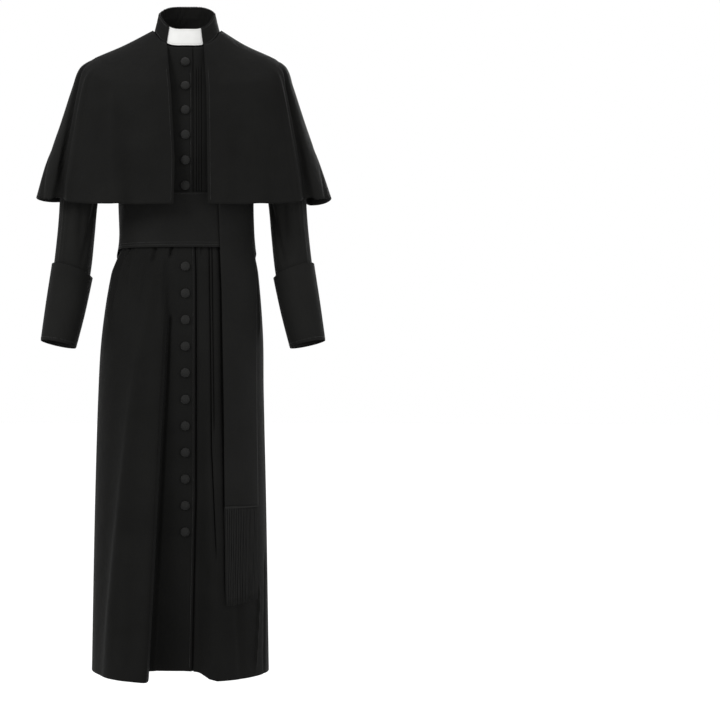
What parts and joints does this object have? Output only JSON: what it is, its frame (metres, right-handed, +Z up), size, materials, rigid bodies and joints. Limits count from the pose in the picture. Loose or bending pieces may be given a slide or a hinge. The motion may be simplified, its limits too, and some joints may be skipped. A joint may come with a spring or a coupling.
{
  "type": "cassock with shoulder cape and sash",
  "caption": "Full-length worn cassock with standing collar and white tab, open shoulder cape, deep turned-back cuffs, button front, pleated back and fringed sash.",
  "frame": {"origin": "middle of the neck at the height of the neck points, where the wearer's shoulders carry the garment", "axes": "+Z up, -Y the way the garment faces, +X the wearer's left"},
  "size_m": [0.637, 0.3504, 1.4418],
  "materials": {
    "cloth": "plain black suiting weave, smooth, with a soft low sheen",
    "cape_cloth": "the same black suiting, hung in soft folds",
    "sash_cloth": "black ribbed sash cloth, flat and smooth, slightly deeper than the garment",
    "fringe_thread": "black twisted fringe",
    "tab_white": "smooth white collar tab with a stitched border",
    "button_cloth": "domed buttons covered in the black cloth",
    "fastener_white": "small white fasteners"
  },
  "bodies": {
    "root": {"front_right": "cloth", "front_left": "cloth", "back_left": "cloth", "back_right": "cloth", "back_pleat": "cloth", "sleeve_left": "cloth", "sleeve_right": "cloth", "cuff_left": "cloth", "cuff_right": "cloth", "collar_band": "cloth", "cape_front_left": "cape_cloth", "cape_front_right": "cape_cloth", "cape_back": "cape_cloth", "sash_band": "sash_cloth", "sash_tail": "sash_cloth", "sash_fringe": "fringe_thread", "collar_tab": "tab_white", "button_01": "button_cloth", "button_02": "button_cloth", "button_03": "button_cloth", "button_04": "button_cloth", "button_05": "button_cloth", "button_06": "button_cloth", "button_07": "button_cloth", "button_08": "button_cloth", "button_09": "button_cloth", "button_10": "button_cloth", "button_11": "button_cloth", "button_12": "button_cloth", "button_13": "button_cloth", "button_14": "button_cloth", "button_15": "button_cloth", "button_16": "button_cloth", "button_17": "button_cloth", "sash_fastener_1": "fastener_white", "sash_fastener_2": "fastener_white"}
  },
  "joints": []
}
